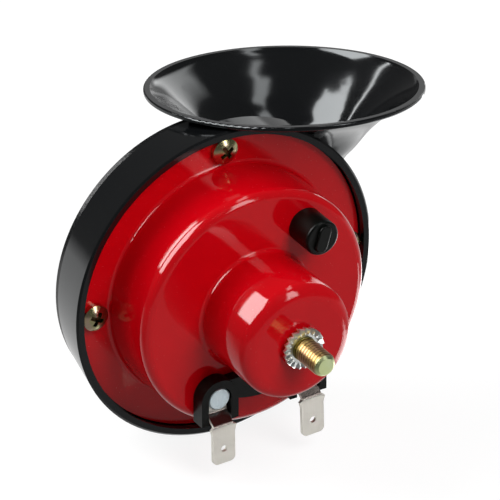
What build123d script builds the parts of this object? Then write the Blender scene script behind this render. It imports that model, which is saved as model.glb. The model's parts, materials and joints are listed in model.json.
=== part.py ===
from build123d import *
import os
from math import asin, cos, exp, pi, radians, sin, sqrt

os.makedirs("parts", exist_ok=True)

# Electric snail horn, in millimetres. The diaphragm, the magnet and the mounting stud share the Y
# axis. The steel cover and the stud face -Y and the bell opens upwards (+Z). The origin is the
# centre of the face on which the vehicle's bracket sits: the front of the lock washer on the stud.

# ---- mounting stud, magnet core and lock washer
stud_d = 5.6
stud_reach = 9.5
stud_chamfer = 0.7
stud_shoulder_d = 6.2
stud_collar_d = 9.0
stud_collar_h = 0.6
core_d = 12.0
core_length = 15.0
lock_washer_d = 10.8
lock_washer_play = 0.1
lock_washer_sheet = 0.7
lock_tooth_width = 2.2
lock_tooth_root = 1.0
lock_tooth_twist = 30.0
lock_tooth_count = 16

# ---- drawn steel cover: boss, middle tier and flange
cover_sheet = 1.0
boss_r = 15.2
boss_depth = 20.4
boss_edge_r = 3.4
tier_r = 31.3
tier_depth = 16.4
tier_edge_r = 2.2
flange_width = 8.2
foot_fillet_r = 1.0

# ---- clamped stack behind the flange
gasket_sheet = 0.5
gasket_width = 6.2
diaphragm_sheet = 0.3
diaphragm_play = 0.3
wave_height = 0.8
wave_share = 0.36
clamp_washer_d = 20.0
clamp_washer_sheet = 1.0
clamp_nut_across = 8.0
clamp_nut_h = 3.0

# ---- moulded body: drum, lip, throat plate
flange_play = 0.3
rim_lip = 2.0
rim_proud = 2.3
rim_edge_r = 0.5
drum_taper = 3.0
drum_depth = 11.9
drum_wall = 2.2
chamber_depth = 2.2
throat_plate = 2.0
throat_r = 7.0
throat_cup_depth = 16.4
rear_plate = 2.0
rear_inset = 0.3
rear_edge_r = 0.4

# ---- duct: volute, neck and bell, as outer sizes with the wall inside them
duct_wall = 2.0
duct_front = 4.8
volute_turn = 354.0
volute_sections = 9
volute_margin = 0.9
volute_start_share = 0.211
volute_start_width_share = 0.1715
volute_cap_share = 0.045
volute_end_width_share = 0.3034
volute_end_flattening = 0.3
mouth_r = 34.2
mouth_wall = 1.3
mouth_aside = 2.6
mouth_back = 17.4
mouth_below_rim = 5.0
mouth_lean = (0.106, 0.188, 0.976)
neck_drop = 19.3
neck_sections = 5
neck_step = 0.4
neck_widening = 1.4
neck_flare = 14.0
neck_flare_power = 1.3
neck_front_narrowing = 1.9
neck_front_flare = 5.5
flare_turn = 30.0
bead_width = 2.0
bead_proud = 0.3
bead_height = 1.2
bead_edge_r = 0.4

# ---- flange screws
screw_count = 4
screw_inset = 3.5
screw_first_angle = 88.8
screw_recess_turn = 31.0
screw_head_d = 6.8
screw_head_h = 2.5
screw_dome_h = 1.1
screw_shank_d = 3.6
screw_length = 7.4
screw_hole_play = 0.3
screw_boss_d = 6.6
screw_boss_floor = 1.6
cross_width = 1.1
cross_span = 3.8
cross_depth = 1.4

# ---- terminals, their rivets and insulators, with heights measured from the rivet
terminal_angle = 57.8
terminal_outset = 0.3
terminal_sheet = 0.8
terminal_strip_width = 5.4
terminal_shoulder_width = 7.2
terminal_out = 5.5
terminal_bend_r = 0.9
terminal_lean = (-0.6, -1.7)
blade_width = 6.3
blade_corner_r = 1.4
blade_hole_d = 1.7
blade_hole_up = 4.1
joggle_drop = 4.4
pocket_drop = 6.4
shoulder_gap = 0.3
shoulder_rise = 0.5
shoulder_drop = 6.7
blade_start_drop = 8.9
blade_end_drop = 17.2
rivet_head_d = 6.0
rivet_head_h = 1.4
rivet_shank_d = 3.0
rivet_foot_d = 4.6
rivet_foot_h = 1.0
rivet_play = 0.1
pocket_half_width = 5.2
pocket_wall = 2.0
pocket_floor = 1.5
pocket_h = 4.0
bridge_rise = 4.0
bridge_gap = 0.3
bridge_inset = 0.5
bridge_h = 3.0
sleeve_d = 4.4
sleeve_play = 0.1

# ---- magnet coil
bobbin_bore_play = 0.15
bobbin_wall = 0.8
bobbin_flange = 1.0
bobbin_side_play = 0.5
bobbin_length = 13.4
bobbin_clearance = 0.3
winding_depth = 0.9

# ---- armature
air_gap = 0.9
armature_d = 13.0
armature_stem_d = 5.0
armature_stem_end = 0.9
collar_lap = 1.3
collar_h = 1.2
collar_gap = 0.15

# ---- contact breaker
arm_width = 7.0
arm_below_rivet = 3.9
arm_over_contact = 3.8
arm_over_adjuster = 3.5
moving_arm_sheet = 0.4
fixed_arm_sheet = 0.9
contact_z = 4.8
contact_d = 4.0
contact_h = 1.0
spacer_size = 7.0
spacer_front_h = 1.8
spacer_rear_h = 0.8
tag_sheet = 0.5
tag_rise = 9.0
tag_drop = 3.0

# ---- adjuster on the middle tier
adjuster_angle = 53.7
adjuster_outset = 0.4
adjuster_screw_d = 4.0
adjuster_screw_out = 3.2
adjuster_slot = 0.8
adjuster_bush_d = 7.6
adjuster_bush_h = 2.6
adjuster_cap_d = 9.1
adjuster_cap_h = 8.0
adjuster_cap_wall = 1.2
adjuster_cap_edge_r = 0.6
adjuster_rib_width = 3.4
adjuster_rib_length = 7.2
adjuster_rib_h = 0.7
adjuster_rib_edge_r = 0.35
adjuster_rib_turn = -17.0

# ---- sizes across the axis that follow from the ones above
flange_r = tier_r + flange_width
rim_r = flange_r + flange_play + rim_lip
drum_back_r = rim_r - drum_taper
screw_circle_r = flange_r - screw_inset
seat_inner_r = flange_r - gasket_width
tier_middle_r = (boss_r + tier_r) / 2
terminal_x = (tier_middle_r + terminal_outset) * cos(radians(terminal_angle))
terminal_rivet_z = -(tier_middle_r + terminal_outset) * sin(radians(terminal_angle))
adjuster_x = (tier_middle_r + adjuster_outset) * cos(radians(adjuster_angle))
adjuster_z = (tier_middle_r + adjuster_outset) * sin(radians(adjuster_angle))
bridge_inner_r = boss_r + foot_fillet_r + bridge_gap
bridge_outer_r = tier_middle_r - bridge_inset
bobbin_r = boss_r - cover_sheet - bobbin_side_play
winding_r = bobbin_r - winding_depth
arm_x = (terminal_x + adjuster_x) / 2
collar_r = arm_x - arm_width / 2 + collar_lap
volute_outer_r = drum_back_r - volute_margin
volute_start_r = volute_outer_r * volute_start_share
volute_start_width = volute_outer_r * volute_start_width_share
volute_end_width = volute_outer_r * volute_end_width_share
volute_end_depth = volute_end_width - volute_end_flattening
volute_end_r = volute_outer_r - volute_end_width
neck_r = volute_end_width + neck_widening
neck_front_r = volute_end_width - neck_front_narrowing
mouth_x = volute_end_r + mouth_aside
mouth_z = rim_r - mouth_below_rim

# ---- places along Y that follow from the sizes
lock_washer_h = lock_tooth_width * sin(radians(lock_tooth_twist))
lock_washer_h += lock_washer_sheet * cos(radians(lock_tooth_twist))
boss_y = lock_washer_h + stud_collar_h
tier_y = boss_y + boss_depth
flange_y = tier_y + tier_depth
diaphragm_y = flange_y + cover_sheet + gasket_sheet
seat_y = diaphragm_y + diaphragm_sheet + gasket_sheet
chamber_y = seat_y + chamber_depth
throat_back_y = chamber_y + throat_plate
drum_back_y = flange_y + drum_depth
rear_y = drum_back_y + rear_plate
boss_inside_y = boss_y + cover_sheet
tier_inside_y = tier_y + cover_sheet
pole_y = boss_inside_y + core_length
moving_arm_y = tier_inside_y + spacer_front_h
fixed_arm_y = moving_arm_y + moving_arm_sheet + 2 * contact_h
far_front_y = flange_y - 60
far_back_y = flange_y + 60


def prism(sketch, y_front, y_back):
    """A sketch drawn as seen from the front (X right, Z up), made solid between two Y planes."""
    plane = Plane(origin=(0, y_back, 0), x_dir=(1, 0, 0), z_dir=(0, -1, 0))
    return extrude(plane * sketch, amount=y_back - y_front)


def disc(radius, y_front, y_back, hole=0.0, x=0.0, z=0.0):
    """A round plate, or a ring when it has a hole, square to the Y axis."""
    sketch = Circle(radius)
    if hole > 0:
        sketch -= Circle(hole)
    return prism(Pos(x, z) * sketch, y_front, y_back)


def turned(points):
    """A solid of revolution about the Y axis, from (radius, y) points."""
    return revolve(make_face(Polyline(*points, close=True)), Axis.Y)


def polar(radius, angle):
    return radius * cos(radians(angle)), radius * sin(radians(angle))


def screw_places():
    return [polar(screw_circle_r, screw_first_angle + 360 / screw_count * n) for n in range(screw_count)]


# ---- cover ------------------------------------------------------------------------------------
def cover():
    """The drawn steel cover, one sheet with two steps, its foot fillets and its holes."""
    sheet = cover_sheet
    outside = FilletPolyline(
        (stud_shoulder_d / 2 + rivet_play, boss_y),
        (boss_r, boss_y),
        (boss_r, tier_y),
        (tier_r, tier_y),
        (tier_r, flange_y),
        (flange_r, flange_y),
        radius=[boss_edge_r, foot_fillet_r, tier_edge_r, foot_fillet_r],
    )
    inside = FilletPolyline(
        (stud_shoulder_d / 2 + rivet_play, boss_y + sheet),
        (boss_r - sheet, boss_y + sheet),
        (boss_r - sheet, tier_y + sheet),
        (tier_r - sheet, tier_y + sheet),
        (tier_r - sheet, flange_y + sheet),
        (flange_r, flange_y + sheet),
        radius=[boss_edge_r - sheet, foot_fillet_r + sheet, tier_edge_r - sheet, foot_fillet_r + sheet],
    )
    ends = [Line(outside @ 0, inside @ 0), Line(outside @ 1, inside @ 1)]
    shell = revolve(make_face(outside.edges() + inside.edges() + [e.edge() for e in ends]), Axis.Y)
    for x, z in screw_places():
        shell -= disc(screw_shank_d / 2 + screw_hole_play, flange_y - 1, flange_y + sheet + 1, x=x, z=z)
    for side in (-1, 1):
        shell -= disc(sleeve_d / 2 + sleeve_play, tier_y - 1, tier_inside_y + 1,
                      x=side * terminal_x, z=terminal_rivet_z)
    shell -= disc(adjuster_screw_d / 2 + rivet_play, tier_y - 1, tier_inside_y + 1,
                  x=adjuster_x, z=adjuster_z)
    return shell


# ---- magnet and stud --------------------------------------------------------------------------
def core_stud():
    """The soft iron core of the magnet, turned in one piece with the mounting stud. A collar and the
    core clamp the cover between them, and a shoulder centres the lock washer."""
    stud_r = stud_d / 2
    shoulder_r = stud_shoulder_d / 2
    points = [
        (0, -stud_reach),
        (stud_r - stud_chamfer, -stud_reach),
        (stud_r, -stud_reach + stud_chamfer),
        (stud_r, 0),
        (shoulder_r, 0),
        (shoulder_r, lock_washer_h),
        (stud_collar_d / 2, lock_washer_h),
        (stud_collar_d / 2, boss_y),
        (shoulder_r, boss_y),
        (shoulder_r, boss_inside_y),
        (core_d / 2, boss_inside_y),
        (core_d / 2, pole_y),
        (0, pole_y),
    ]
    return turned(points)


def lock_washer():
    """A spring washer whose overlapping twisted teeth bite the bracket and the stud's collar."""
    middle = lock_washer_h / 2
    bore_r = stud_shoulder_d / 2 + lock_washer_play
    tooth_inner_r = bore_r + lock_tooth_root / 2
    length = lock_washer_d / 2 - tooth_inner_r
    washer = disc(
        bore_r + lock_tooth_root,
        middle - lock_washer_sheet / 2,
        middle + lock_washer_sheet / 2,
        hole=bore_r,
    )
    for n in range(lock_tooth_count):
        tooth = Box(length, lock_washer_sheet, lock_tooth_width)
        tooth = Pos(tooth_inner_r + length / 2, 0, 0) * Rot(lock_tooth_twist, 0, 0) * tooth
        washer += Pos(0, middle, 0) * Rot(0, 360 / lock_tooth_count * n, 0) * tooth
    return washer


def coil_bobbin():
    front = boss_inside_y + bobbin_clearance
    back = front + bobbin_length
    bore = core_d / 2 + bobbin_bore_play
    bobbin = disc(bore + bobbin_wall, front, back, hole=bore)
    bobbin += disc(bobbin_r - boss_edge_r / 2, front, front + bobbin_flange, hole=bore)
    bobbin += disc(bobbin_r, back - bobbin_flange, back, hole=bore)
    return bobbin


def coil_winding():
    """The enamelled copper winding, as one ring."""
    front = boss_inside_y + bobbin_clearance + bobbin_flange
    back = front + bobbin_length - 2 * bobbin_flange
    bore = core_d / 2 + bobbin_bore_play + bobbin_wall
    return disc(winding_r, front, back, hole=bore)


# ---- armature and diaphragm -------------------------------------------------------------------
clamp_y = diaphragm_y - clamp_washer_sheet
nut_y = diaphragm_y + diaphragm_sheet + clamp_washer_sheet
collar_y = moving_arm_y + moving_arm_sheet + collar_gap


def armature():
    points = [
        (0, pole_y + air_gap),
        (armature_d / 2, pole_y + air_gap),
        (armature_d / 2, clamp_y),
        (armature_stem_d / 2, clamp_y),
        (armature_stem_d / 2, nut_y + clamp_nut_h + armature_stem_end),
        (0, nut_y + clamp_nut_h + armature_stem_end),
    ]
    return turned(points)


def armature_collar():
    """The insulating collar that pushes the moving contact arm."""
    return disc(collar_r, collar_y, collar_y + collar_h, hole=armature_d / 2)


def clamp_washer(y_front):
    return disc(clamp_washer_d / 2, y_front, y_front + clamp_washer_sheet, hole=armature_stem_d / 2)


def armature_nut():
    nut = RegularPolygon(clamp_nut_across / 2, 6, major_radius=False) - Circle(armature_stem_d / 2)
    return prism(nut, nut_y, nut_y + clamp_nut_h)


def diaphragm():
    """A thin spring steel disc, flat where it is clamped, with one ring-shaped wave between."""
    middle = (clamp_washer_d / 2 + seat_inner_r) / 2
    wave_width = (seat_inner_r - clamp_washer_d / 2) * wave_share
    radii = [armature_stem_d / 2 + rivet_play, middle - wave_width, middle, middle + wave_width]
    radii += [flange_r - diaphragm_play]
    heights = [0, 0, wave_height, 0, 0]
    front = [(r, diaphragm_y + h) for r, h in zip(radii, heights)]
    back = [(r, y + diaphragm_sheet) for r, y in reversed(front)]
    sheet = turned(front + back)
    for x, z in screw_places():
        sheet -= disc(screw_shank_d / 2 + screw_hole_play, diaphragm_y - 1, seat_y, x=x, z=z)
    return sheet


def gasket(y_front):
    ring = disc(flange_r - diaphragm_play, y_front, y_front + gasket_sheet, hole=seat_inner_r)
    for x, z in screw_places():
        ring -= disc(screw_shank_d / 2 + screw_hole_play, y_front - 1, y_front + 1, x=x, z=z)
    return ring


# ---- contact breaker --------------------------------------------------------------------------
def strip(width, low_z, top_z, y_front, sheet, x):
    """A flat contact strip with rounded ends, standing in the X-Z plane."""
    outline = Pos(x, (low_z + top_z) / 2) * Rectangle(width, top_z - low_z)
    outline = fillet(outline.vertices(), width / 5)
    return prism(outline, y_front, y_front + sheet)


def rivet_hole(part, side, radius):
    return part - disc(radius, tier_y - 5, far_back_y, x=side * terminal_x, z=terminal_rivet_z)


def moving_contact_arm():
    low_z = terminal_rivet_z - arm_below_rivet
    arm = strip(arm_width, low_z, contact_z + arm_over_contact, moving_arm_y, moving_arm_sheet, arm_x)
    return rivet_hole(arm, 1, rivet_shank_d / 2 + rivet_play)


def fixed_contact_arm():
    low_z = terminal_rivet_z - arm_below_rivet
    arm = strip(arm_width, low_z, adjuster_z + arm_over_adjuster, fixed_arm_y, fixed_arm_sheet, arm_x)
    return rivet_hole(arm, 1, sleeve_d / 2 + sleeve_play)


def contact_point(y_front):
    return disc(contact_d / 2, y_front, y_front + contact_h, x=arm_x, z=contact_z)


def spacer(side, y_front, y_back):
    """An insulating block round a terminal rivet."""
    block = Pos(side * terminal_x, terminal_rivet_z) * Rectangle(spacer_size, spacer_size)
    block -= Pos(side * terminal_x, terminal_rivet_z) * Circle(rivet_shank_d / 2 + rivet_play)
    return prism(block, y_front, y_back)


def spacer_middle():
    """The block between the two arms, with the sleeve that keeps the rivet off the fixed arm."""
    block = spacer(1, moving_arm_y + moving_arm_sheet, fixed_arm_y)
    return block + disc(sleeve_d / 2, fixed_arm_y, fixed_arm_y + fixed_arm_sheet,
                        hole=rivet_shank_d / 2 + rivet_play, x=terminal_x, z=terminal_rivet_z)


def lead_tag():
    """The brass tag under the left rivet, to which one end of the coil is soldered."""
    tag = strip(terminal_strip_width, terminal_rivet_z - tag_drop, terminal_rivet_z + tag_rise,
                tier_inside_y + spacer_front_h, tag_sheet, -terminal_x)
    return rivet_hole(tag, -1, rivet_shank_d / 2 + rivet_play)


# ---- terminals --------------------------------------------------------------------------------
def terminal(side):
    """A tinned brass terminal: a strip under the rivet, a joggle outwards and the 6.3 mm blade."""
    strip_y = tier_y - pocket_floor - terminal_sheet / 2
    blade_y = tier_y - terminal_out + terminal_sheet / 2
    top_z = terminal_rivet_z + pocket_half_width - pocket_wall - 0.4
    shoulder_top_z = terminal_rivet_z - pocket_drop - shoulder_gap
    blade_end_z = terminal_rivet_z - blade_end_drop
    path = FilletPolyline(
        (strip_y, top_z),
        (strip_y, terminal_rivet_z - joggle_drop),
        (blade_y, terminal_rivet_z - shoulder_drop),
        (blade_y, blade_end_z),
        radius=terminal_bend_r,
    )
    side_view = Plane.YZ * trace(path, terminal_sheet)
    sheet = extrude(side_view, amount=terminal_shoulder_width / 2, both=True)
    strip_half = terminal_strip_width / 2
    shoulder_half = terminal_shoulder_width / 2
    right = [
        (strip_half - 1, top_z),
        (strip_half, top_z - 1),
        (strip_half, shoulder_top_z),
        (shoulder_half, shoulder_top_z - shoulder_rise),
        (blade_width / 2, terminal_rivet_z - blade_start_drop),
        (blade_width / 2, blade_end_z),
    ]
    left = [(-x, z) for x, z in reversed(right)]
    outline = make_face(Polyline(*right, *left, close=True))
    outline = fillet(outline.vertices().sort_by(Axis.Y)[:2], blade_corner_r)
    sheet &= prism(outline, far_front_y, tier_y)
    sheet -= disc(blade_hole_d / 2, far_front_y, tier_y, z=blade_end_z + blade_hole_up)
    sheet -= disc(rivet_shank_d / 2 + rivet_play, far_front_y, tier_y, z=terminal_rivet_z)
    lean = terminal_lean[0] if side < 0 else terminal_lean[1]
    about_rivet = Pos(0, 0, terminal_rivet_z) * Rot(0, lean, 0) * Pos(0, 0, -terminal_rivet_z)
    return Pos(side * terminal_x, 0, 0) * about_rivet * sheet


def terminal_rivet(side, foot_y):
    """A flat-headed rivet: head in the pocket, foot closed over the last piece inside the cover."""
    head_back = tier_y - pocket_floor - terminal_sheet
    place = {"x": side * terminal_x, "z": terminal_rivet_z}
    head = disc(rivet_head_d / 2, head_back - rivet_head_h, head_back, **place)
    head = chamfer(head.faces().sort_by(Axis.Y)[0].edges(), rivet_head_h / 4)
    shank = disc(rivet_shank_d / 2, head_back, foot_y, **place)
    return head + shank + disc(rivet_foot_d / 2, foot_y, foot_y + rivet_foot_h, **place)


def pocket_outline(half_width):
    """A slot shape: round at the top about the rivet, straight down past the lower end."""
    return Circle(half_width) + Pos(0, -pocket_drop / 2) * Rectangle(2 * half_width, pocket_drop)


def terminal_insulator():
    """One moulding: two open-ended pockets joined by a bridge that hugs the boss."""
    front = tier_y - pocket_h
    outer = Sketch() + [Pos(s * terminal_x, terminal_rivet_z) * pocket_outline(pocket_half_width)
                        for s in (-1, 1)]
    body = prism(outer, front, tier_y)
    bridge = Circle(bridge_outer_r) - Circle(bridge_inner_r)
    bridge_top_z = terminal_rivet_z + bridge_rise
    bridge &= Pos(0, bridge_top_z - bridge_outer_r / 2) * Rectangle(2 * terminal_x, bridge_outer_r)
    body += prism(bridge, tier_y - bridge_h, tier_y)
    for side in (-1, 1):
        inner = Pos(side * terminal_x, terminal_rivet_z) * pocket_outline(pocket_half_width - pocket_wall)
        lower = Rectangle(2 * (pocket_half_width - pocket_wall), 2)
        lower = Pos(side * terminal_x, terminal_rivet_z - pocket_drop) * lower
        body -= prism(inner + lower, front - 1, tier_y - pocket_floor)
        body += disc(sleeve_d / 2, tier_y - 0.1, tier_inside_y, x=side * terminal_x, z=terminal_rivet_z)
        body = rivet_hole(body, side, rivet_shank_d / 2 + rivet_play)
    return body


# ---- adjuster ---------------------------------------------------------------------------------
def adjuster_screw():
    """The set screw that presses the fixed arm, and so sets the contact gap."""
    front = tier_y - adjuster_screw_out
    screw = disc(adjuster_screw_d / 2, front, fixed_arm_y, x=adjuster_x, z=adjuster_z)
    slot = Pos(adjuster_x, adjuster_z) * Rectangle(adjuster_screw_d, adjuster_slot)
    return screw - prism(slot, front - 1, front + adjuster_slot)


def adjuster_bush():
    return disc(adjuster_bush_d / 2, tier_inside_y, tier_inside_y + adjuster_bush_h,
                hole=adjuster_screw_d / 2 + rivet_play, x=adjuster_x, z=adjuster_z)


def adjuster_cap():
    """The sealing cap over the set screw, with a raised oval grip across its face."""
    front = tier_y - adjuster_cap_h
    place = {"x": adjuster_x, "z": adjuster_z}
    cap = disc(adjuster_cap_d / 2, front, tier_y, **place)
    cap = fillet(cap.faces().sort_by(Axis.Y)[0].edges(), adjuster_cap_edge_r)
    oval = Rot(0, 0, 90 + adjuster_rib_turn) * SlotOverall(adjuster_rib_length, adjuster_rib_width)
    grip = prism(Pos(adjuster_x, adjuster_z) * oval, front - adjuster_rib_h, front + adjuster_cap_wall)
    cap += fillet(grip.faces().sort_by(Axis.Y)[0].edges(), adjuster_rib_edge_r)
    hollow_r = adjuster_cap_d / 2 - adjuster_cap_wall
    return cap - disc(hollow_r, front + adjuster_cap_wall, tier_y + 1, **place)


# ---- flange screws ----------------------------------------------------------------------------
def flange_screw(x, z, turn):
    """A pan head thread-forming screw with a cross recess."""
    head_r = screw_head_d / 2
    dome = Circle((head_r**2 + screw_dome_h**2) / (2 * screw_dome_h))
    shank_r = screw_shank_d / 2
    points = [
        (0, flange_y + screw_length),
        (shank_r * 0.5, flange_y + screw_length),
        (shank_r, flange_y + screw_length - shank_r * 0.6),
        (shank_r, flange_y),
        (head_r, flange_y),
    ]
    rim_y = flange_y - screw_head_h + screw_dome_h
    side = Polyline(*points, (head_r, rim_y))
    top = ThreePointArc(
        (head_r, rim_y), (head_r * 0.55, flange_y - screw_head_h + screw_dome_h * 0.3),
        (0, flange_y - screw_head_h),
    )
    axis = Line((0, flange_y - screw_head_h), points[0])
    screw = revolve(make_face(side.edges() + [top.edge(), axis.edge()]), Axis.Y)
    recess = Rectangle(cross_span, cross_width) + Rectangle(cross_width, cross_span)
    screw -= prism(Rot(0, 0, turn) * recess, flange_y - screw_head_h - 1,
                   flange_y - screw_head_h + cross_depth)
    return Pos(x, 0, z) * screw


# ---- duct: volute, neck and bell --------------------------------------------------------------
def half_oval(width, depth, cut, rear):
    """The part of an oval before or behind a line across it: one curve and its chord."""
    tip = asin(cut / depth)
    first, last = (tip, pi - tip) if rear else (pi - tip, 2 * pi + tip)
    points = []
    for n in range(13):
        angle = first + (last - first) * n / 12
        points.append((width * cos(angle), depth * sin(angle)))
    return make_face([Spline(*points).edge(), Line(points[-1], points[0]).edge()])


def volute_station(share):
    """A section of the volute: centre, way of the sound, sideways, half width, half depth."""
    angle = radians(volute_turn * share)
    centre_r = volute_start_r + (volute_end_r - volute_start_r) * share
    width = volute_start_width + (volute_end_width - volute_start_width) * share
    depth = volute_start_width + (volute_end_depth - volute_start_width) * share
    centre = Vector(centre_r * cos(angle), flange_y + duct_front + depth, centre_r * sin(angle))
    return centre, Vector(-sin(angle), 0, cos(angle)), Vector(cos(angle), 0, sin(angle)), width, depth


def volute_half(wall, start, rear):
    """The volute on one side of the drum's back plane, from a share of its turn to its end."""
    sections = []
    for n in range(volute_sections + 1):
        share = start + (1 - start) * n / volute_sections
        centre, along, sideways, width, depth = volute_station(share)
        section = half_oval(width - wall, depth - wall, drum_back_y - centre.Y, rear)
        sections.append(Plane(origin=centre, x_dir=sideways, z_dir=along) * section)
    return loft(sections)


mouth_centre = Vector(mouth_x, flange_y + mouth_back, mouth_z)
mouth_axis = Vector(*mouth_lean).normalized()


def bell_stations():
    """Sections from the neck up to the mouth. The side of the flare towards the drum starts later
    than the others, because the drum is in its way."""
    way_at_neck = volute_station(1)[1]
    stations = []
    for share in (1, 0.8, 0.62, 0.47, 0.34, 0.22, 0.12, 0.05, 0):
        drop = neck_drop * share
        side_r = neck_r + (mouth_r - neck_r) * exp(-((drop / neck_flare) ** neck_flare_power))
        front_r = neck_front_r + (mouth_r - neck_front_r) * exp(-drop / neck_front_flare)
        along = (mouth_axis * (1 - share) + way_at_neck * share).normalized()
        turn = radians(flare_turn) * sqrt(1 - share)
        away = Vector(sin(turn), cos(turn), 0)
        back = (away - along * away.dot(along)).normalized()
        centre = mouth_centre - mouth_axis * drop + back * ((side_r - front_r) / 2)
        stations.append((centre, along, back.cross(along), side_r, (side_r + front_r) / 2))
    return stations


def neck_stations():
    """Sections that widen from the end of the volute to the foot of the bell."""
    low = volute_station(1)
    high = bell_stations()[0]
    stations = []
    for n in range(neck_sections):
        share = n / neck_sections
        centre = low[0] + (high[0] - low[0]) * share
        widening = share**1.5
        width = low[3] + neck_step + (high[3] - low[3] - neck_step) * widening
        depth = low[4] + neck_step + (high[4] - low[4] - neck_step) * widening
        along = (low[1] * (1 - share) + high[1] * share).normalized()
        back = (Vector(0, 1, 0) - along * along.Y).normalized()
        stations.append((centre, along, back.cross(along), width, depth))
    return stations


def bell(wall, wall_at_mouth):
    """Neck and bell as one loft, drawn in by a wall that thins towards the mouth."""
    stations = neck_stations() + bell_stations()
    sections = []
    for n, (centre, along, sideways, width, depth) in enumerate(stations):
        to_mouth = max(0, n - len(stations) + 4) / 3
        inset = wall + (wall_at_mouth - wall) * to_mouth
        plane = Plane(origin=centre, x_dir=sideways, z_dir=along)
        sections.append(plane * Ellipse(width - inset, depth - inset))
    return loft(sections)


def drum_wall_in_bell():
    """The part of the drum that stands in the floor of the bell, so that no air leaks past it."""
    seat_ring = disc(rim_r, far_front_y, seat_y + mouth_wall)
    return seat_ring + disc(seat_inner_r + duct_wall, far_front_y, throat_back_y)


bell_outside = bell(0, 0)
bell_inside = bell(duct_wall, mouth_wall) - drum_wall_in_bell()
cup_end_y = flange_y + throat_cup_depth


def mouth_bead():
    """The rolled edge round the mouth of the bell."""
    plane = Plane(origin=mouth_centre, z_dir=mouth_axis)
    bead_r = mouth_r + bead_proud
    ring = extrude(plane * (Circle(bead_r) - Circle(bead_r - bead_width)), amount=-bead_height)
    return fillet(ring.edges(), bead_edge_r)


def drum():
    """Outer wall, lip, diaphragm seat and throat plate as one turned profile."""
    recess_r = flange_r + flange_play
    front_y = flange_y - rim_proud
    taper = (rim_r - drum_back_r) / (drum_back_y - front_y)
    wall_inner_r = rim_r - taper * (throat_back_y - front_y) - drum_wall
    points = [
        (recess_r, front_y),
        (rim_r - rim_edge_r, front_y),
        (rim_r, front_y + rim_edge_r),
        (drum_back_r, drum_back_y),
        (drum_back_r - drum_wall, drum_back_y),
        (wall_inner_r, throat_back_y),
        (throat_r, throat_back_y),
        (throat_r, chamber_y),
        (seat_inner_r, chamber_y),
        (seat_inner_r, seat_y),
        (recess_r, seat_y),
    ]
    return turned(points)


def horn_body():
    """Drum, front half of the volute, neck and bell, moulded in one piece."""
    body = drum() + volute_half(0, -volute_cap_share, rear=False)
    body += disc(throat_r + duct_wall, chamber_y, drum_back_y)
    body += bell_outside
    body += mouth_bead()
    for x, z in screw_places():
        body += disc(screw_boss_d / 2, seat_y, flange_y + screw_length + screw_boss_floor, x=x, z=z)
    body -= volute_half(duct_wall, 0, rear=False) + disc(throat_r, chamber_y - 1, drum_back_y)
    body -= bell_inside
    body -= disc(flange_r + flange_play, far_front_y, seat_y)
    body -= disc(seat_inner_r, seat_y - 1, chamber_y)
    for x, z in screw_places():
        body -= disc(screw_shank_d / 2, seat_y - 1, flange_y + screw_length + 0.4, x=x, z=z)
    return body


def rear_cover():
    """The back of the drum with the rear half of the volute, welded to the body."""
    shell = disc(drum_back_r - rear_inset, drum_back_y, rear_y)
    shell = chamfer(shell.faces().sort_by(Axis.Y)[-1].edges(), rear_edge_r)
    beside_neck = Pos(volute_end_r, 0, 0) * Box(60, 400, 60, align=(Align.MIN, Align.CENTER, Align.MIN))
    shell -= Rot(0, 360 - volute_turn, 0) * beside_neck
    shell += volute_half(0, -volute_cap_share, rear=True)
    shell += disc(throat_r + duct_wall, drum_back_y, cup_end_y)
    shell -= bell_outside
    shell -= volute_half(duct_wall, 0, rear=True)
    return shell - disc(throat_r, drum_back_y, cup_end_y - duct_wall)


# ---- write every piece ------------------------------------------------------------------------
pieces = {
    "cover": cover(),
    "core_stud": core_stud(),
    "lock_washer": lock_washer(),
    "coil_bobbin": coil_bobbin(),
    "coil_winding": coil_winding(),
    "armature": armature(),
    "armature_collar": armature_collar(),
    "diaphragm": diaphragm(),
    "diaphragm_washer_front": clamp_washer(clamp_y),
    "diaphragm_washer_rear": clamp_washer(diaphragm_y + diaphragm_sheet),
    "armature_nut": armature_nut(),
    "gasket_front": gasket(flange_y + cover_sheet),
    "gasket_rear": gasket(diaphragm_y + diaphragm_sheet),
    "moving_contact_arm": moving_contact_arm(),
    "moving_contact_point": contact_point(moving_arm_y + moving_arm_sheet),
    "fixed_contact_arm": fixed_contact_arm(),
    "fixed_contact_point": contact_point(fixed_arm_y - contact_h),
    "breaker_spacer_front": spacer(1, tier_inside_y, moving_arm_y),
    "breaker_spacer_middle": spacer_middle(),
    "breaker_spacer_rear": spacer(1, fixed_arm_y + fixed_arm_sheet,
                                  fixed_arm_y + fixed_arm_sheet + spacer_rear_h),
    "lead_spacer": spacer(-1, tier_inside_y, tier_inside_y + spacer_front_h),
    "lead_tag": lead_tag(),
    "terminal_left": terminal(-1),
    "terminal_right": terminal(1),
    "terminal_rivet_left": terminal_rivet(-1, tier_inside_y + spacer_front_h + tag_sheet),
    "terminal_rivet_right": terminal_rivet(1, fixed_arm_y + fixed_arm_sheet + spacer_rear_h),
    "terminal_insulator": terminal_insulator(),
    "adjuster_screw": adjuster_screw(),
    "adjuster_bush": adjuster_bush(),
    "adjuster_cap": adjuster_cap(),
    "horn_body": horn_body(),
    "rear_cover": rear_cover(),
}
for number, (screw_x, screw_z) in enumerate(screw_places(), start=1):
    pieces[f"flange_screw_{number}"] = flange_screw(screw_x, screw_z, screw_recess_turn * number)

for name, piece in pieces.items():
    export_step(piece, f"parts/{name}.step")
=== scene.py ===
import json
from math import cos, pi, radians, sin

import bmesh
import bpy
from mathutils import Matrix, Vector


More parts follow.
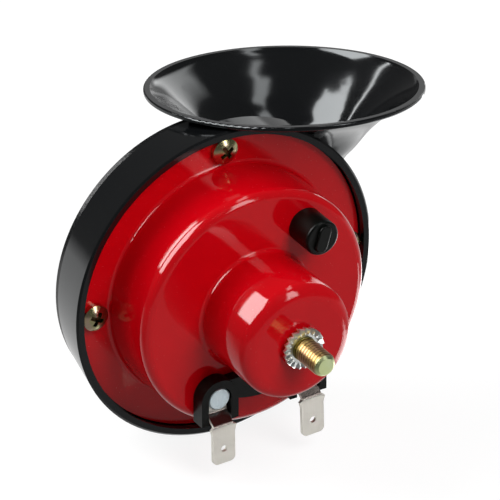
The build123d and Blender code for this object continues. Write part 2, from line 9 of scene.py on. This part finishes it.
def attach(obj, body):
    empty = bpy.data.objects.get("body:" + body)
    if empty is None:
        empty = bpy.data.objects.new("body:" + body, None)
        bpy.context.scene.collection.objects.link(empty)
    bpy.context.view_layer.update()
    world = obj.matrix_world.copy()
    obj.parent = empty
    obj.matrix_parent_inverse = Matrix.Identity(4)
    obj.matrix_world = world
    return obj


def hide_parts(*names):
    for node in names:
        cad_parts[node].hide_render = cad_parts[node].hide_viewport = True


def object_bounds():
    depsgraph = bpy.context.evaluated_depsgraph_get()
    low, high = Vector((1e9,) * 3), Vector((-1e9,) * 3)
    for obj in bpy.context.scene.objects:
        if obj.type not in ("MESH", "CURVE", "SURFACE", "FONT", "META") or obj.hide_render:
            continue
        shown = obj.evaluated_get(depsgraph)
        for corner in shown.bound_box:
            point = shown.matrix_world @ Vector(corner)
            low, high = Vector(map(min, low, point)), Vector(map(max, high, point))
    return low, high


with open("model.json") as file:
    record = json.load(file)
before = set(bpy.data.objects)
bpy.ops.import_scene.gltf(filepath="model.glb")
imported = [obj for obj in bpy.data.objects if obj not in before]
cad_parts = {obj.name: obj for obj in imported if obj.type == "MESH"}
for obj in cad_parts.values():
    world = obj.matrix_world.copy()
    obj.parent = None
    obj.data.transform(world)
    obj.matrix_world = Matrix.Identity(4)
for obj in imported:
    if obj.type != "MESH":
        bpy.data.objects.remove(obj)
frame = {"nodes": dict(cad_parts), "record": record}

cad_box = [list(corner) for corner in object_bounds()]
scene = bpy.context.scene
scene.view_settings.view_transform = "Standard"
MM = 0.001
WHITE = (1, 1, 1, 1)


# ---- shader maths ------------------------------------------------------------------------------
class Value:
    """A value that a node of the current tree gives, which Python's operators join to others."""
    tree = None

    def __init__(self, socket):
        self.socket = socket

    @classmethod
    def node(cls, kind, settings=None, inputs=None, output=0):
        """One node of a type, with its settings made first and then its sockets' values."""
        made = cls.tree.nodes.new(kind)
        for name, setting in (settings or {}).items():
            setattr(made, name, setting)
        for name, given in (inputs or {}).items():
            socket = made.inputs[name]
            if isinstance(given, Value):
                cls.tree.links.new(given.socket, socket)
            else:
                socket.default_value = given
        return cls(made.outputs[output])

    def _maths(self, operation, first, second=0.0, clamp=False):
        settings = {"operation": operation, "use_clamp": clamp}
        return Value.node("ShaderNodeMath", settings, {0: first, 1: second})

    def __add__(self, other):
        return self._maths("ADD", self, other)

    __radd__ = __add__

    def __mul__(self, other):
        return self._maths("MULTIPLY", self, other)

    def __sub__(self, other):
        return self._maths("SUBTRACT", self, other)

    def __rsub__(self, other):
        return self._maths("SUBTRACT", other, self)

    def __truediv__(self, other):
        return self._maths("DIVIDE", self, other)

    def __pow__(self, other):
        return self._maths("POWER", self, other)

    def clamp(self):
        return self._maths("ADD", self, 0.0, clamp=True)

    def at_least(self, limit):
        return self._maths("MAXIMUM", self, limit)

    def size(self):
        return self._maths("ABSOLUTE", self)

    def above(self, edge, soft):
        """0 below an edge and 1 above it, over a soft width."""
        return ((self - (edge - soft / 2)) / soft).clamp()


def mix(share, first, second):
    """A colour between two, by a share."""
    inputs = {0: share, 6: first, 7: second}
    return Value.node("ShaderNodeMix", {"data_type": "RGBA"}, inputs, output=2)


def position():
    """A point of the surface in metres, in the frame that the pieces share at rest."""
    return Value.node("ShaderNodeTexCoord", output=3)


def part_of(vector, axis):
    """The x, y or z of a vector, for axis 0, 1 or 2."""
    return Value.node("ShaderNodeSeparateXYZ", inputs={0: vector}, output=axis)


def noise(scale, detail, at=None):
    """Noise from 0 to 1, its scale in cells for each metre, at the surface's point or another."""
    inputs = {"Vector": at or position(), "Scale": scale, "Detail": detail, "Roughness": 0.5}
    return Value.node("ShaderNodeTexNoise", inputs=inputs)


def stretched(x, y, z):
    """The surface's point with each axis stretched, for grain that runs one way."""
    inputs = {0: position(), 1: (x, y, z)}
    return Value.node("ShaderNodeVectorMath", {"operation": "MULTIPLY"}, inputs)


def dot(vector, fixed):
    """How far a vector goes along a fixed one."""
    inputs = {0: vector, 1: tuple(fixed)}
    return Value.node("ShaderNodeVectorMath", {"operation": "DOT_PRODUCT"}, inputs, output=1)


def bump(height, depth, normal=None):
    """A normal from a height in units of the depth, over the surface's own normal or another."""
    inputs = {"Height": height, "Strength": 1.0, "Distance": depth}
    if normal is not None:
        inputs["Normal"] = normal
    return Value.node("ShaderNodeBump", inputs=inputs)


def mix_shaders(share, first, second):
    """A shader between two, by a share."""
    return Value.node("ShaderNodeMixShader", inputs={0: share, 1: first, 2: second})


def material_of(name, build):
    """A material with the surface shader that build() returns."""
    material = bpy.data.materials.new(name)
    material.use_nodes = True
    Value.tree = material.node_tree
    Value.tree.nodes.clear()
    surface = build()
    output = Value.tree.nodes.new("ShaderNodeOutputMaterial")
    Value.tree.links.new(surface.socket, output.inputs[0])
    return material


def finish(name, build):
    """A material whose Principled BSDF gets the sockets that build() returns."""
    return material_of(name, lambda: Value.node("ShaderNodeBsdfPrincipled", inputs=build()))


# ---- finishes ----------------------------------------------------------------------------------
# the shaded draft of the boss's wall: the y in metres where it ends, and how fast it grows before
BOSS_DRAFT_END, BOSS_DRAFT = 0.017, 13.0
# x and z of the four screws in millimetres, and their recess in metres, which gets painted shade:
# its radius and the y that it starts at
SCREW_AXES = ((0.75, 36.0), (-36.0, 0.75), (-0.75, -36.0), (36.0, -0.75))
RECESS_R, RECESS_R2_SOFT = 0.0021, 0.0000004
RECESS_Y, RECESS_Y_SOFT = 0.03735, 0.0002
# the stud in metres: the y of its foot, its length, and the radius under which its thread's root
# gets painted shade
STUD_FOOT, STUD_FOOT_SOFT = -0.0009, 0.0012
STUD_END, STUD_END_SOFT = 0.0088, 0.0005
ROOT_SHADE_R, ROOT_SHADE_SOFT = 0.00293, 0.00012
WIRE_PITCH = 0.00055


def red_enamel():
    """Sprayed enamel over drawn steel: deep and glossy, with faint orange peel and nibs of dust."""
    peel = noise(650, 2.0)
    sag = noise(120, 1.0)
    dust = noise(2600, 1.0).above(0.76, 0.03)
    before_draw = (BOSS_DRAFT_END - part_of(position(), 1)).at_least(0)
    draft = bump(before_draw * before_draw * -BOSS_DRAFT, 1.0)
    colour = mix(sag, (0.60, 0.0010, 0.0060, 1), (0.54, 0.0006, 0.0045, 1))
    return {
        "Base Color": mix(dust * 0.3, colour, (0.70, 0.22, 0.20, 1)),
        "Roughness": 0.05 + sag * 0.05 + dust * 0.2,
        "Normal": bump(peel * 0.25 + sag * 1.0 + dust * 0.6, 0.000012, draft),
        "IOR": 1.5,
    }


def black_moulding():
    """Injection moulded ABS with a high gloss and a trace of sink."""
    sink = noise(60, 1.0)
    grain = noise(1400, 2.0)
    return {
        "Base Color": mix(sink, (0.0035, 0.0040, 0.0048, 1), (0.0055, 0.0058, 0.0060, 1)),
        "Roughness": 0.06 + sink * 0.05 + grain * 0.03,
        "Normal": bump(sink * 1.0 + grain * 0.06, 0.00002),
        "IOR": 1.5,
        "Specular Tint": (0.94, 0.985, 1.0, 1),
    }


def black_satin():
    """The moulded rear cover, from a tool with a fine spark texture."""
    spark = noise(2200, 3.0)
    cloud = noise(90, 2.0)
    return {
        "Base Color": mix(cloud, (0.0040, 0.0044, 0.0050, 1), (0.0065, 0.0068, 0.0070, 1)),
        "Roughness": 0.17 + spark * 0.1,
        "Normal": bump(spark * 0.4 + cloud * 0.4, 0.00003),
        "IOR": 1.47,
    }


def black_insulator():
    """Moulded phenolic with a low sheen and a faint grain."""
    grain = noise(1600, 3.0)
    cloud = noise(260, 2.0)
    return {
        "Base Color": mix(cloud, (0.0012, 0.0018, 0.0014, 1), (0.0028, 0.0032, 0.0026, 1)),
        "Roughness": 0.22 + grain * 0.12 + cloud * 0.08,
        "Normal": bump(grain * 0.5 + cloud * 0.8, 0.00003),
        "IOR": 1.24,
    }


def yellow_zinc():
    """Passivated zinc on the screws: straw, green and rose by turns, with painted shade in the
    recess.
    """
    drift = noise(240, 2.0)
    fine = noise(900, 3.0)
    colour = mix(drift.above(0.47, 0.16), (0.58, 0.46, 0.28, 1), (0.46, 0.45, 0.22, 1))
    colour = mix(noise(420, 1.0).above(0.56, 0.12) * 0.7, colour, (0.60, 0.43, 0.36, 1))
    across, rise = part_of(position(), 0), part_of(position(), 2)
    away = 1.0
    for x, z in SCREW_AXES:
        beside_axis, above_axis = across - x * MM, rise - z * MM
        radius_2 = beside_axis * beside_axis + above_axis * above_axis
        away = radius_2.above(RECESS_R ** 2, RECESS_R2_SOFT) * away
    # painted shade: the screws' cross recesses are coloured near-black olive, and rougher
    shaded_recess = part_of(position(), 1).above(RECESS_Y, RECESS_Y_SOFT) * (1 - away)
    return {
        "Base Color": mix(shaded_recess * 0.9, colour, (0.060, 0.062, 0.022, 1)),
        "Metallic": 1.0,
        "Roughness": 0.18 + fine * 0.1 + shaded_recess * 0.25,
        "Normal": bump(fine * 0.3 + drift * 0.5, 0.00003),
    }


def stud_zinc():
    """Yellow passivation on the stud: straw, rose below, painted shade in the thread's root, green
    on the end.
    """
    along = part_of(position(), 1)
    drift = noise(210, 1.0)
    turned = noise(1, 2.0, at=stretched(300, 6000, 300))
    across, rise = part_of(position(), 0), part_of(position(), 2)
    radius = (across * across + rise * rise) ** 0.5
    colour = mix(drift.above(0.48, 0.2), (0.44, 0.31, 0.11, 1), (0.42, 0.25, 0.15, 1))
    colour = mix((rise * -1).above(0.0008, 0.003) * 0.6, colour, (0.46, 0.28, 0.21, 1))
    foot = along.above(STUD_FOOT, STUD_FOOT_SOFT)
    colour = mix(foot * 0.8, colour, (0.36, 0.31, 0.07, 1))
    end = (along * -1).above(STUD_END, STUD_END_SOFT)
    # painted shade: dark brown and rougher where the stud lies inside a radius, in its thread's
    # roots
    root_shade = (ROOT_SHADE_R - radius).above(0, ROOT_SHADE_SOFT) * (1 - end)
    colour = mix(root_shade * 0.7, colour, (0.12, 0.065, 0.03, 1))
    colour = mix(end, colour, mix(drift, (0.66, 0.72, 0.30, 1), (0.78, 0.88, 0.56, 1)))
    return {
        "Base Color": colour,
        "Metallic": 1.0,
        "Roughness": 0.24 + turned * 0.12 + root_shade * 0.15,
        "Normal": bump(turned * 0.4 + drift * 0.3, 0.00002),
    }


def bright_zinc():
    """Bright plate on blanked spring steel, a little softer where the press has drawn it."""
    cloud = noise(500, 2.0)
    grain = noise(2400, 2.0)
    return {
        "Base Color": mix(cloud, (0.80, 0.82, 0.80, 1), (0.70, 0.73, 0.72, 1)),
        "Metallic": 1.0,
        "Roughness": 0.29 + cloud * 0.1,
        "Normal": bump(grain * 0.4 + cloud * 0.3, 0.00002),
    }


def blued_zinc():
    """Blue-white passivated rivet steel, pressed flat and slightly matt."""
    pits = noise(1300, 3.0)
    cloud = noise(380, 2.0)
    return {
        "Base Color": mix(cloud, (0.60, 0.72, 0.78, 1), (0.70, 0.78, 0.80, 1)),
        "Metallic": 0.85,
        "Roughness": 0.36 + pits * 0.2,
        "Normal": bump(pits * 1.2 + cloud, 0.00006),
    }


def tinned_brass():
    """Tin plated strip with rolling lines along the blade, smoother where it bends up, with a
    painted reflection there: dark, as of the shaded boss and black insulator above.
    """
    lines = noise(1, 3.0, at=stretched(5200, 5200, 260))
    cloud = noise(300, 2.0)
    facing = Value.node("ShaderNodeTexCoord", output=1)
    # painted reflection: where the strip faces up and forward it is coloured dark, as if mirroring
    # the dark parts above
    bend_painted_dark = part_of(facing, 2).above(0.34, 0.2) * (part_of(facing, 1) * -1).above(0.2, 0.1)
    blade = mix(cloud, (0.80, 0.77, 0.70, 1), (0.72, 0.69, 0.63, 1))
    return {
        "Base Color": mix(bend_painted_dark, blade, (0.13, 0.11, 0.10, 1)),
        "Metallic": 0.9,
        "Roughness": 0.34 + lines * 0.2 - bend_painted_dark * 0.26,
        "Normal": bump(lines * 0.7 + cloud * 0.8, 0.00005),
    }


def rolled_metal(colour, second, rough):
    """A bare or plated metal with faint rolling lines, of two colours and a roughness."""
    def build():
        lines = noise(1, 3.0, at=stretched(3000, 3000, 300))
        cloud = noise(200, 2.0)
        return {
            "Base Color": mix(cloud, colour, second),
            "Metallic": 1.0,
            "Roughness": rough + lines * 0.15,
            "Normal": bump(lines * 0.6 + cloud * 0.6, 0.00004),
        }
    return build


def dull(colour, second, rough, depth):
    """A matt fibre, rubber or nylon, of two colours, a roughness and a depth of grain."""
    def build():
        fibres = noise(900, 5.0)
        cloud = noise(150, 2.0)
        return {
            "Base Color": mix(cloud * 0.6 + fibres * 0.4, colour, second),
            "Roughness": rough + fibres * 0.2,
            "Normal": bump(fibres + cloud, depth),
        }
    return build


def enamelled_winding():
    """Enamelled wire, wound in layers that show as fine rings."""
    along = part_of(position(), 1)
    rings = Value.node("ShaderNodeMath", {"operation": "SINE"}, {0: along * (2 * pi / WIRE_PITCH)})
    cloud = noise(300, 2.0)
    return {
        "Base Color": mix(cloud, (0.42, 0.12, 0.04, 1), (0.60, 0.20, 0.07, 1)),
        "Metallic": 0.7,
        "Roughness": 0.28 + cloud * 0.1,
        "Normal": bump(rings * 0.5 + cloud * 0.3, 0.00012),
    }


FINISHES = {
    "red_paint": red_enamel,
    "black_moulding": black_moulding,
    "black_insulator": black_insulator,
    "black_satin": black_satin,
    "zinc_yellow": yellow_zinc,
    "zinc_bright": bright_zinc,
    "core_steel": stud_zinc,
    "tinned_brass": tinned_brass,
    "rivet_zinc": blued_zinc,
    "brass": rolled_metal((0.70, 0.46, 0.16, 1), (0.62, 0.42, 0.17, 1), 0.25),
    "copper_wire": enamelled_winding,
    "natural_nylon": dull((0.66, 0.60, 0.48, 1), (0.58, 0.52, 0.40, 1), 0.35, 0.00005),
    "spring_steel": rolled_metal((0.45, 0.46, 0.48, 1), (0.38, 0.39, 0.42, 1), 0.22),
    "fibre": dull((0.20, 0.075, 0.03, 1), (0.13, 0.05, 0.02, 1), 0.6, 0.00012),
    "gasket": dull((0.02, 0.02, 0.02, 1), (0.035, 0.035, 0.035, 1), 0.7, 0.0001),
    "silver_contact": rolled_metal((0.80, 0.80, 0.80, 1), (0.70, 0.70, 0.70, 1), 0.2),
}
# the finish of each piece, by its slot but for three of them
FINISH_OF = {entry["node"]: entry["material_slot"] for entry in frame["record"]["subparts"]}
FINISH_OF["rear_cover"] = "black_satin"
FINISH_OF["terminal_rivet_left"] = FINISH_OF["terminal_rivet_right"] = "rivet_zinc"

materials = {name: finish(name, build) for name, build in FINISHES.items()}
for name, cad_object in frame["nodes"].items():
    cad_object.data.materials.clear()
    cad_object.data.materials.append(materials[FINISH_OF[name]])
    for polygon in cad_object.data.polygons:
        polygon.use_smooth = True


# ---- lofted pieces -----------------------------------------------------------------------------
def loft(name, rings, node, slot, smooth):
    """A closed sleeve through rings of points in millimetres, as a piece of the horn.

    The last ring is joined to the first. The piece takes the place of a node, if one is given.
    """
    mesh = bmesh.new()
    made = [
        [mesh.verts.new([value * MM for value in point]) for point in points] for points in rings
    ]
    for near, far in zip(made, made[1:] + made[:1]):
        for step in range(len(near)):
            after = (step + 1) % len(near)
            mesh.faces.new((near[step], near[after], far[after], far[step]))
    bmesh.ops.recalc_face_normals(mesh, faces=mesh.faces)
    data = bpy.data.meshes.new(name)
    mesh.to_mesh(data)
    mesh.free()
    for polygon in data.polygons:
        polygon.use_smooth = smooth
    data.materials.append(materials[slot])
    piece = bpy.data.objects.new(name, data)
    scene.collection.objects.link(piece)
    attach(piece, "horn")
    if node:
        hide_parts(node)


def around(count, y_at, radius_at):
    """A ring of points about the y axis, from the y and the radius at each share of the turn."""
    points = []
    for n in range(count):
        radius, angle = radius_at(n / count), 2 * pi * n / count
        points.append((radius * cos(angle), y_at(n / count), radius * sin(angle)))
    return points


# the lock washer in millimetres: its teeth and the steps in each; the y of its middle, its
# thickness and the twist at a tooth's tip; the share of a tooth before it turns back; and its
# profile, as radius and share of the twist
WASHER_TEETH, WASHER_STEPS = 20, 10
WASHER_MIDDLE, WASHER_SHEET, WASHER_TWIST = 0.855, 0.7, 0.5
WASHER_LEAN = 0.8
WASHER_PROFILE = ((3.2, 0.0), (3.75, 0.0), (4.0, 0.35), (4.4, 0.75), (4.9, 1.0), (5.38, 1.0))


def serrated_washer():
    """A ring whose outer part is pressed into twisted, overlapping teeth."""
    def tooth(turn_share):
        """Between -1 and 1: how far the ring is twisted out of its plane at a share of the turn."""
        share = turn_share * WASHER_TEETH % 1.0
        if share < WASHER_LEAN:
            return 2 * share / WASHER_LEAN - 1
        return 1 - 2 * (share - WASHER_LEAN) / (1 - WASHER_LEAN)

    rings = []
    for side, profile in ((-0.5, WASHER_PROFILE), (0.5, WASHER_PROFILE[::-1])):
        for radius, twist in profile:
            face = WASHER_MIDDLE + side * WASHER_SHEET
            rings.append(around(
                WASHER_TEETH * WASHER_STEPS,
                lambda turn_share: face + twist * WASHER_TWIST * tooth(turn_share),
                lambda turn_share: radius,
            ))
    loft("washer_teeth", rings, "lock_washer", "zinc_bright", False)


serrated_washer()


# the stud's rolled thread in millimetres; its crest is cut flat where the profile, made steeper,
# passes 1
THREAD_PITCH, THREAD_STEEPER = 1.0, 1.15
THREAD_ROOT_R, THREAD_CREST_R, THREAD_BORE_R = 2.79, 3.06, 2.6
THREAD_START, THREAD_END = -0.1, -8.85
THREAD_RUN_OUT = 0.7
THREAD_STEPS_ROUND, THREAD_STEPS_ALONG = 72, 150


def rolled_thread():
    """A closed sleeve on the stud whose outside is a helical thread that runs out at both ends."""
    rings = []
    for step in range(THREAD_STEPS_ALONG + 1):
        y = THREAD_START + (THREAD_END - THREAD_START) * step / THREAD_STEPS_ALONG
        fade = min(1.0, (THREAD_START - y) / THREAD_RUN_OUT, (y - THREAD_END) / THREAD_RUN_OUT)

        def outside(turn_share):
            crest = abs(2 * ((y / THREAD_PITCH + turn_share) % 1.0) - 1)
            height = fade * min(crest * THREAD_STEEPER, 1.0)
            return THREAD_ROOT_R + (THREAD_CREST_R - THREAD_ROOT_R) * height

        rings.append(around(THREAD_STEPS_ROUND, lambda turn_share: y, outside))

    def bore(turn_share):
        return THREAD_BORE_R

    for y in (THREAD_END, THREAD_START):
        rings.append(around(THREAD_STEPS_ROUND, lambda turn_share: y, bore))
    loft("stud_thread", rings, None, "core_steel", True)


rolled_thread()


# ---- studio ------------------------------------------------------------------------------------
def basis(azimuth, elevation):
    """Right, up and back of a camera that looks at the object from an azimuth and elevation."""
    a, e = radians(azimuth), radians(elevation)
    back = Vector((sin(a) * cos(e), -cos(a) * cos(e), sin(e)))
    right = Vector((cos(a), sin(a), 0))
    return right, back.cross(right), back


AIM = Vector((8.433, 39.106, 5.391)) * MM
AZIMUTH, ELEVATION, ROLL = -31.48, 30.6, 0.1
DISTANCE = 2.0
PIXELS_PER_METRE = 4111.0
SENSOR = 36.0
PICTURE_WIDTH = 500
LAMP_AIM, LAMP_DISTANCE = Vector((10, 35, 5)) * MM, 1.2
KEY_WATTS, STRIP_WATTS, AMBIENT = 14.5, 10.5, 0.14
FLOOR_GREY, FLOOR_SHADE, FLOOR_GLOW = 0.4, 0.2, 0.86
FLOOR_HALF, FLOOR_GAP = 1.6, 0.0002

right, up, back = basis(AZIMUTH, ELEVATION)
camera_data = bpy.data.cameras.new("studio_camera")
camera_data.sensor_width = SENSOR
camera_data.lens = PIXELS_PER_METRE * DISTANCE * SENSOR / PICTURE_WIDTH
camera_data.clip_end = 20
camera = bpy.data.objects.new("studio_camera", camera_data)
turn = Matrix((right, up, back)).transposed().to_4x4() @ Matrix.Rotation(radians(-ROLL), 4, "Z")
camera.matrix_world = Matrix.Translation(AIM + back * DISTANCE) @ turn
scene.collection.objects.link(camera)
scene.camera = camera


def lamp(name, azimuth, elevation, size, watts):
    """A rectangular lamp that gives the soft, matt share of the light."""
    body = bpy.data.lights.new(name, "AREA")
    body.shape = "RECTANGLE"
    body.size, body.size_y = size
    body.energy = watts
    lamp_object = bpy.data.objects.new(name, body)
    side, rise, away = basis(azimuth, elevation)
    lamp_turn = Matrix((side, rise, away)).transposed().to_4x4()
    lamp_object.matrix_world = Matrix.Translation(LAMP_AIM + away * LAMP_DISTANCE) @ lamp_turn
    lamp_object.visible_glossy = False
    lamp_object.visible_camera = False
    scene.collection.objects.link(lamp_object)


lamp("key_lamp", -138, 44, (1.0, 0.8), KEY_WATTS)
lamp("strip_lamp", 15, 46, (0.6, 1.0), STRIP_WATTS)


def pane(direction, corners, soft):
    """1 where a direction looks at a flat softbox and 0 elsewhere.

    Its corners are given by azimuth and elevation, and its edges are soft.
    """
    points = [basis(*corner)[2] for corner in corners]
    middle = sum(points, Vector())
    inside = None
    for here, following in zip(points, points[1:] + points[:1]):
        edge = here.cross(following).normalized()
        if edge.dot(middle) < 0:
            edge.negate()
        within = dot(direction, edge).above(0, soft)
        inside = within if inside is None else inside * within
    return inside


# what glossy rays see, as radiance over directions; first, panes: the radiance of each, its soft
# edge and the azimuth and elevation of its corners
SOFTBOXES = (
    (6.5, 0.03, ((16.0, 8.0), (27.0, 8.0), (31.0, 46.0), (16.0, 46.0))),
    (4.2, 0.04, ((32.0, 64.0), (52.0, 61.5), (104.0, 69.0), (104.0, 76.0))),
    (4.0, 0.03, ((100.6, 70.6), (103.4, 67.0), (124.3, 63.0), (128.9, 65.3))),
    (5.5, 0.05, ((40.6, -36.0), (129.4, -36.0), (124.5, -26.5), (44.9, -28.0))),
    (2.8, 0.10, ((117.0, -4.0), (102.5, 40.0), (110.0, 38.0), (124.0, 12.0), (125.0, -4.0))),
    (1.1, 0.04, ((136.0, 8.0), (136.0, 22.0), (147.0, 23.0), (147.0, 10.0))),
    (0.8, 0.10, ((75.0, -42.0), (130.0, -42.0), (140.0, -64.0), (65.0, -64.0))),
    (0.35, 0.10, ((120.0, 12.0), (152.0, 8.0), (152.0, -25.0), (122.0, -25.0))),
)
# the key window, as polygons of directions, cut off where the direction's y passes KEY_BACK
KEY_RADIANCE, KEY_BACK, KEY_BACK_SOFT, KEY_SOFT = 11.0, 0.468, 0.02, 0.03
KEY_WINDOW = (
    ((-131.0, 17.0), (-72.4, 23.0), (-50.0, 48.0), (-97.0, 71.0), (-127.0, 72.0)),
    ((-128.0, 44.0), (-126.0, 66.0), (-136.0, 62.5), (-146.0, 56.0), (-146.0, 44.0)),
)
# a ribbon of light: a band of directions about one y, to the left of one x and above one z
RIBBON_RADIANCE, RIBBON_Y, RIBBON_HALF, RIBBON_SOFT = 11.0, 0.734, 0.018, 0.008
RIBBON_LEFT, RIBBON_LOW, RIBBON_END_SOFT = 0.19, 0.25, 0.03
# the dim room, and the pale sweep below it, darker on one side and brighter toward the back
ROOM = 0.10
SWEEP_FRONT, SWEEP_BACK = 0.30, 0.85
SWEEP_DOWN, SWEEP_DOWN_SOFT = 0.17, 0.1
DARK_SIDE, DARK_EDGE, DARK_SOFT, DARK_SHARE = (-0.97, -0.1, 0.0), 0.75, 0.15, 0.8
BACK_SIDE, BACK_EDGE, BACK_SOFT = (0.34, 0.94, 0.0), 0.05, 0.6


def glow(strength):
    """A white background of a strength."""
    return Value.node("ShaderNodeBackground", inputs={"Color": WHITE, "Strength": strength})


world = bpy.data.worlds.new("studio")
scene.world = world
world.use_nodes = True
Value.tree = world.node_tree
Value.tree.nodes.clear()
look = Value.node("ShaderNodeTexCoord", output=0)
beside = dot(look, DARK_SIDE).above(DARK_EDGE, DARK_SOFT)
below = (part_of(look, 2) * -1).above(SWEEP_DOWN, SWEEP_DOWN_SOFT) * (1 - beside * DARK_SHARE)
behind = dot(look, BACK_SIDE).above(BACK_EDGE, BACK_SOFT)
studio = ROOM + below * (SWEEP_FRONT - ROOM + behind * (SWEEP_BACK - SWEEP_FRONT))
window = 0
for corners in KEY_WINDOW:
    window = window + pane(look, corners, KEY_SOFT)
window = window.clamp() * (KEY_BACK - part_of(look, 1)).above(0, KEY_BACK_SOFT)
studio = studio + window * KEY_RADIANCE
for radiance, soft, corners in SOFTBOXES:
    studio = studio + pane(look, corners, soft) * radiance
ribbon = (RIBBON_HALF - (part_of(look, 1) - RIBBON_Y).size()).above(0, RIBBON_SOFT)
ribbon = ribbon * (part_of(look, 0) * -1).above(RIBBON_LEFT, RIBBON_END_SOFT)
ribbon = ribbon * part_of(look, 2).above(RIBBON_LOW, RIBBON_END_SOFT)
studio = studio + ribbon * RIBBON_RADIANCE

# glossy rays see the studio, matt ones an even ambient light, and the camera plain white
glossy, seen, through = (
    Value.node("ShaderNodeLightPath", output=name)
    for name in ("Is Glossy Ray", "Is Camera Ray", "Is Transmission Ray")
)
lit = mix_shaders(glossy, glow(AMBIENT), glow(studio))
lit = mix_shaders((seen + through).clamp(), lit, glow(1.0))
Value.tree.links.new(lit.socket, Value.tree.nodes.new("ShaderNodeOutputWorld").inputs[0])


# ---- floor -------------------------------------------------------------------------------------
def pale_floor():
    """A plain grey to the object, and to the camera near white with a faint shadow."""
    matt, shade = (
        Value.node("ShaderNodeBsdfDiffuse", inputs={"Color": (grey, grey, grey, 1)})
        for grey in (FLOOR_GREY, FLOOR_SHADE)
    )
    glowing = Value.node("ShaderNodeEmission", inputs={"Color": WHITE, "Strength": FLOOR_GLOW})
    seen_floor = Value.node("ShaderNodeAddShader", inputs={0: shade, 1: glowing})
    camera_ray = Value.node("ShaderNodeLightPath", output="Is Camera Ray")
    return mix_shaders(camera_ray, matt, seen_floor)


floor_mesh = bmesh.new()
bmesh.ops.create_grid(floor_mesh, x_segments=1, y_segments=1, size=FLOOR_HALF)
floor_data = bpy.data.meshes.new("floor")
floor_mesh.to_mesh(floor_data)
floor_mesh.free()
floor = bpy.data.objects.new("floor", floor_data)
floor_data.materials.append(material_of("pale_floor", pale_floor))
floor.location = (0, 0, cad_box[0][2] - FLOOR_GAP)
floor.visible_glossy = False
scene.collection.objects.link(floor)
